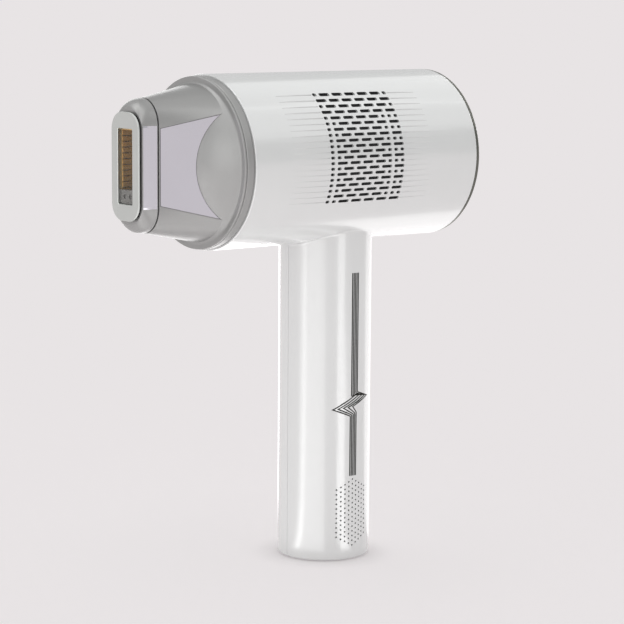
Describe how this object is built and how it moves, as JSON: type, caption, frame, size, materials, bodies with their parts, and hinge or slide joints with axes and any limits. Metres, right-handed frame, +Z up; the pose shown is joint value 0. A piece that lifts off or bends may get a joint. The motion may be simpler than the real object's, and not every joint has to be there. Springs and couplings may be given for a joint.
{
  "type": "ipl hair remover",
  "caption": "Hand-held pulsed-light hair remover shaped like a hair dryer: vented barrel, straight handle it stands on, tapered nose, pull-off lamp head and sprung contact frame at the window.",
  "frame": {"origin": "centre of the foot ring's underside, on the surface the handle stands on, on the handle's axis", "axes": "+Z up along the handle, -Y towards the nose and its window, +X to the right-hand side seen from behind"},
  "size_m": [0.072, 0.1578, 0.208],
  "materials": {
    "white_gloss_plastic": "gloss",
    "dark_inlay": "satin",
    "vent_mesh": "matte",
    "grille_cloth": "matte",
    "nozzle_grey": "satin",
    "polished_panel": "polished",
    "collar_grey": "satin",
    "contact_metal": "satin",
    "frame_rubber": "matte",
    "spring_steel": "satin",
    "screw_steel": "satin",
    "cartridge_plastic": "satin",
    "window": "polished",
    "filter": "polished",
    "gold_reflector": "polished",
    "lamp_glass": "polished",
    "electrode": "satin",
    "lamp_holder": "matte",
    "magnet": "polished",
    "gold_contact": "polished",
    "cooling_plate": "matte",
    "heat_sink": "satin",
    "fan_plastic": "satin",
    "fan_motor": "satin",
    "chassis_plastic": "matte",
    "circuit_board": "satin",
    "display_module": "satin",
    "skin_sensor": "satin",
    "components": "satin",
    "capacitor": "satin",
    "transformer": "satin",
    "trigger": "gloss",
    "lead": "satin",
    "dark_lens": "polished",
    "chrome_ring": "polished",
    "button_silver": "satin",
    "foot_rubber": "matte"
  },
  "bodies": {
    "housing": {"base_cap": "white_gloss_plastic", "base_screws": "screw_steel", "board_components": "components", "board_screws": "screw_steel", "button_board": "circuit_board", "charging_transformer": "transformer", "chassis": "chassis_plastic", "contact_pins": "gold_contact", "cooling_plate": "cooling_plate", "dc_jack": "components", "dc_pin": "screw_steel", "display_board": "display_module", "display_lens": "dark_lens", "fan_duct": "fan_plastic", "fan_frame": "fan_plastic", "fan_motor": "fan_motor", "flash_capacitors": "capacitor", "flash_switch": "components", "foot_ring": "foot_rubber", "front_bezel_ring": "nozzle_grey", "grille_cloths": "grille_cloth", "handle_frame": "chassis_plastic", "heat_sink": "heat_sink", "heat_sink_screws": "screw_steel", "lamp_socket": "cartridge_plastic", "left_accent_inlay": "dark_inlay", "left_housing": "white_gloss_plastic", "left_side_panel": "polished_panel", "left_vent_mesh": "vent_mesh", "main_board": "circuit_board", "nozzle_shell": "nozzle_grey", "power_leads": "lead", "power_switch": "components", "rear_cap": "white_gloss_plastic", "rear_trim_ring": "chrome_ring", "right_accent_inlay": "dark_inlay", "right_housing": "white_gloss_plastic", "right_side_panel": "polished_panel", "right_vent_mesh": "vent_mesh", "socket_magnets": "magnet", "sounder": "components", "trigger_transformer": "trigger"},
    "lamp_head": {"cartridge_collar": "collar_grey", "collar_plates": "polished_panel", "cartridge_body": "cartridge_plastic", "window_glass": "window", "filter_glass": "filter", "reflector": "gold_reflector", "skin_sensor": "skin_sensor", "lamp_tube": "lamp_glass", "lamp_electrodes": "electrode", "lamp_holders": "lamp_holder", "cartridge_magnets": "magnet", "contact_pads": "gold_contact", "frame_springs": "spring_steel"},
    "contact_frame": {"contact_frame": "contact_metal", "frame_seal": "frame_rubber"},
    "fan": {"fan_rotor": "fan_plastic"},
    "flash_button": {"flash_button": "button_silver"},
    "power_button": {"power_button": "button_silver"}
  },
  "joints": [
    {"name": "lamp_head_slide", "type": "slide", "parent": "housing", "child": "lamp_head", "axis": [0, -1, 0], "range_m": [0, 0.03]},
    {"name": "contact_frame_press", "type": "slide", "parent": "lamp_head", "child": "contact_frame", "axis": [0, 1, 0], "range_m": [0, 0.0005], "stiffness_N_per_m": 600, "springref_m": -0.001, "deforming": ["frame_springs"]},
    {"name": "fan_spin", "type": "hinge", "parent": "housing", "child": "fan", "pos_m": [0, -0.041, 0.172], "axis": [0, 1, 0], "continuous": true},
    {"name": "flash_button_press", "type": "slide", "parent": "housing", "child": "flash_button", "axis": [0, -1, 0], "range_m": [0, 0.001], "stiffness_N_per_m": 800, "springref_m": -0.0005},
    {"name": "power_button_press", "type": "slide", "parent": "housing", "child": "power_button", "axis": [0, -1, 0], "range_m": [0, 0.0007], "stiffness_N_per_m": 800, "springref_m": -0.0005}
  ]
}
